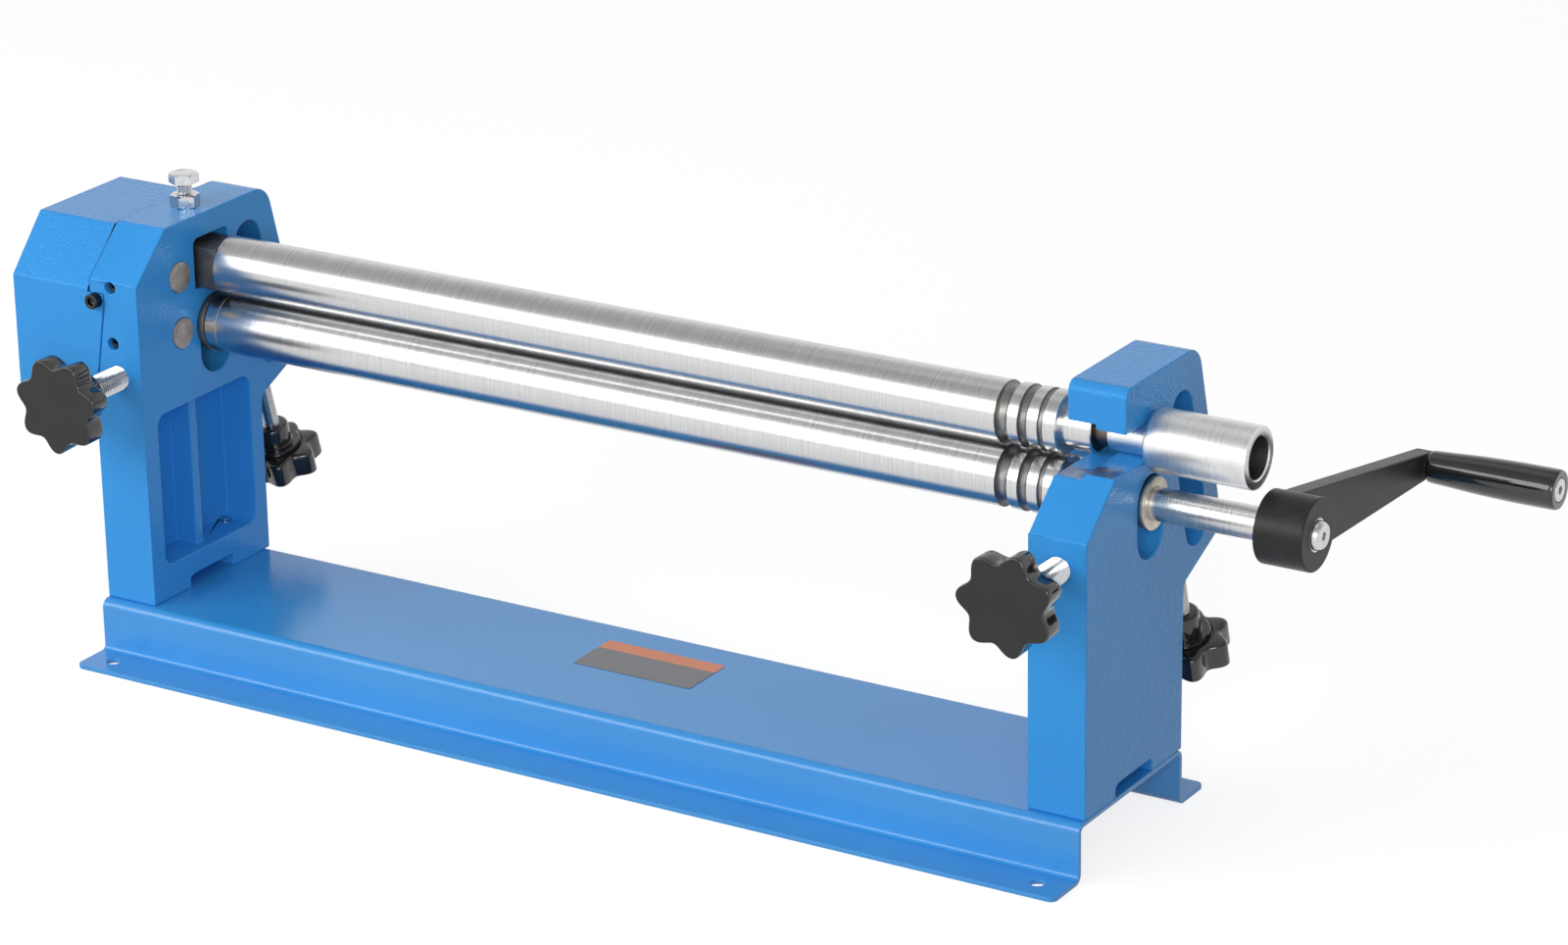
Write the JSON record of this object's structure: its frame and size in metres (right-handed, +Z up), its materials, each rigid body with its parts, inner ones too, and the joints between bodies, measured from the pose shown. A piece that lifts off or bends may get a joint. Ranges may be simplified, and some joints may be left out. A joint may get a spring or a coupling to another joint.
{
  "type": "slip roll machine",
  "caption": "Bench slip roll: cast end frames on a folded base carry geared pinch rolls with a hand crank, a bending roll behind and star knobs.",
  "frame": {"origin": "centre of the four anchor holes, on the plane that the base stands on", "axes": "+X along the rolls towards the crank, +Y towards the back, +Z up"},
  "size_m": [0.9561, 0.3364, 0.305],
  "materials": {
    "blue_paint": "gloss blue enamel with a light orange peel",
    "ground_steel": "ground and polished lengthwise bright",
    "machined_steel": "as machined",
    "dark_steel": "dark phosphate",
    "zinc_steel": "bright zinc",
    "bronze": "turned bearing bronze",
    "black_cast": "satin black oxide",
    "black_plastic": "gloss black moulding"
  },
  "bodies": {
    "stand": {"base_plate": "blue_paint", "left_frame": "blue_paint", "right_frame": "blue_paint", "gear_cover": "blue_paint", "upper_idler_pin": "machined_steel", "lower_idler_pin": "machined_steel", "idler_set_screws": "dark_steel", "idler_retaining_rings": "zinc_steel", "swing_bolt": "zinc_steel", "swing_bolt_nut": "zinc_steel", "cover_screws": "dark_steel", "frame_bolts": "zinc_steel", "frame_washers": "zinc_steel"},
    "lower_bearings": {"lower_left_bush": "dark_steel", "lower_right_bush": "bronze"},
    "lower_drive": {"lower_roll": "ground_steel", "lower_roll_gear": "machined_steel", "lower_gear_key": "machined_steel", "lower_gear_ring": "zinc_steel", "crank_arm": "black_cast", "crank_key": "machined_steel", "crank_screw": "zinc_steel", "grip_spindle": "zinc_steel"},
    "grip": {"crank_grip": "black_plastic"},
    "swing_block": {"top_bearing_block": "dark_steel"},
    "top_drive": {"top_roll": "ground_steel", "top_roll_gear": "machined_steel", "top_gear_key": "machined_steel", "top_gear_ring": "zinc_steel"},
    "upper_idler": {"upper_idler_gear": "machined_steel"},
    "lower_idler": {"lower_idler_gear": "machined_steel"},
    "rear_bearings": {"rear_left_block": "dark_steel", "rear_right_block": "dark_steel", "left_rear_pad": "dark_steel", "right_rear_pad": "dark_steel"},
    "bending_roll": {"rear_roll": "ground_steel"},
    "left_cone": {"left_front_cone": "dark_steel"},
    "right_cone": {"right_front_cone": "dark_steel"},
    "left_front_screw": {"left_front_knob": "black_plastic", "left_front_stud": "zinc_steel"},
    "right_front_screw": {"right_front_knob": "black_plastic", "right_front_stud": "zinc_steel"},
    "left_rear_screw": {"left_rear_knob": "black_plastic", "left_rear_stud": "zinc_steel"},
    "right_rear_screw": {"right_rear_knob": "black_plastic", "right_rear_stud": "zinc_steel"}
  },
  "joints": [
    {"name": "lower_roll_lift", "type": "slide", "parent": "stand", "child": "lower_bearings", "axis": [0, 0, 1], "range_m": [-0.0004, 0.0012]},
    {"name": "crank_turn", "type": "hinge", "parent": "lower_bearings", "child": "lower_drive", "pos_m": [0, 0.02, 0.2087], "axis": [1, 0, 0], "continuous": true},
    {"name": "grip_turn", "type": "hinge", "parent": "lower_drive", "child": "grip", "pos_m": [0.4515, 0.20292, 0.18883], "axis": [1, 0, 0], "continuous": true},
    {"name": "top_roll_swing", "type": "hinge", "parent": "stand", "child": "swing_block", "pos_m": [-0.339, 0.02, 0.2485], "axis": [0, 0, 1], "range_deg": [-8, 0]},
    {"name": "top_roll_turn", "type": "hinge", "parent": "swing_block", "child": "top_drive", "pos_m": [0, 0.02, 0.2485], "axis": [1, 0, 0], "continuous": true},
    {"name": "upper_idler_turn", "type": "hinge", "parent": "stand", "child": "upper_idler", "pos_m": [-0.375, -0.01373, 0.24735], "axis": [1, 0, 0], "continuous": true},
    {"name": "lower_idler_turn", "type": "hinge", "parent": "stand", "child": "lower_idler", "pos_m": [-0.375, -0.01373, 0.20985], "axis": [1, 0, 0], "continuous": true},
    {"name": "left_rear_knob_turn", "type": "hinge", "parent": "rear_bearings", "child": "left_rear_screw", "pos_m": [-0.339, 0.0585, 0.252], "axis": [0, -0.2588, 0.9659], "range_deg": [-9670, 4732]},
    {"name": "right_rear_knob_turn", "type": "hinge", "parent": "rear_bearings", "child": "right_rear_screw", "pos_m": [0.339, 0.0585, 0.252], "axis": [0, -0.2588, 0.9659], "range_deg": [-9670, 4732]},
    {"name": "bending_roll_lift", "type": "slide", "parent": "stand", "child": "rear_bearings", "axis": [0, -0.2588, 0.9659], "range_m": [-0.047, 0.023]},
    {"name": "bending_roll_turn", "type": "hinge", "parent": "rear_bearings", "child": "bending_roll", "pos_m": [0, 0.06497, 0.22785], "axis": [1, 0, 0], "continuous": true},
    {"name": "left_cone_slide", "type": "slide", "parent": "stand", "child": "left_cone", "axis": [0, 1, 0], "range_m": [-0.0007, 0.0021]},
    {"name": "right_cone_slide", "type": "slide", "parent": "stand", "child": "right_cone", "axis": [0, 1, 0], "range_m": [-0.0007, 0.0021]},
    {"name": "left_front_knob_turn", "type": "hinge", "parent": "left_cone", "child": "left_front_screw", "pos_m": [-0.339, 0, 0.1895], "axis": [0, 1, 0], "range_deg": [-125, 375]},
    {"name": "right_front_knob_turn", "type": "hinge", "parent": "right_cone", "child": "right_front_screw", "pos_m": [0.339, 0, 0.1895], "axis": [0, 1, 0], "range_deg": [-125, 375]}
  ],
  "couplings": [
    {"joint": "lower_idler_turn", "follows": "crank_turn", "ratio": -0.8},
    {"joint": "upper_idler_turn", "follows": "crank_turn", "ratio": 0.8},
    {"joint": "top_roll_turn", "follows": "crank_turn", "ratio": -1},
    {"joint": "left_rear_knob_turn", "follows": "bending_roll_lift", "rad_per_m": 3590.4},
    {"joint": "right_rear_knob_turn", "follows": "bending_roll_lift", "rad_per_m": 3590.4},
    {"joint": "left_cone_slide", "follows": "lower_roll_lift", "ratio": 1.7321},
    {"joint": "right_cone_slide", "follows": "lower_roll_lift", "ratio": 1.7321},
    {"joint": "left_front_knob_turn", "follows": "lower_roll_lift", "rad_per_m": 5441.4},
    {"joint": "right_front_knob_turn", "follows": "lower_roll_lift", "rad_per_m": 5441.4}
  ]
}
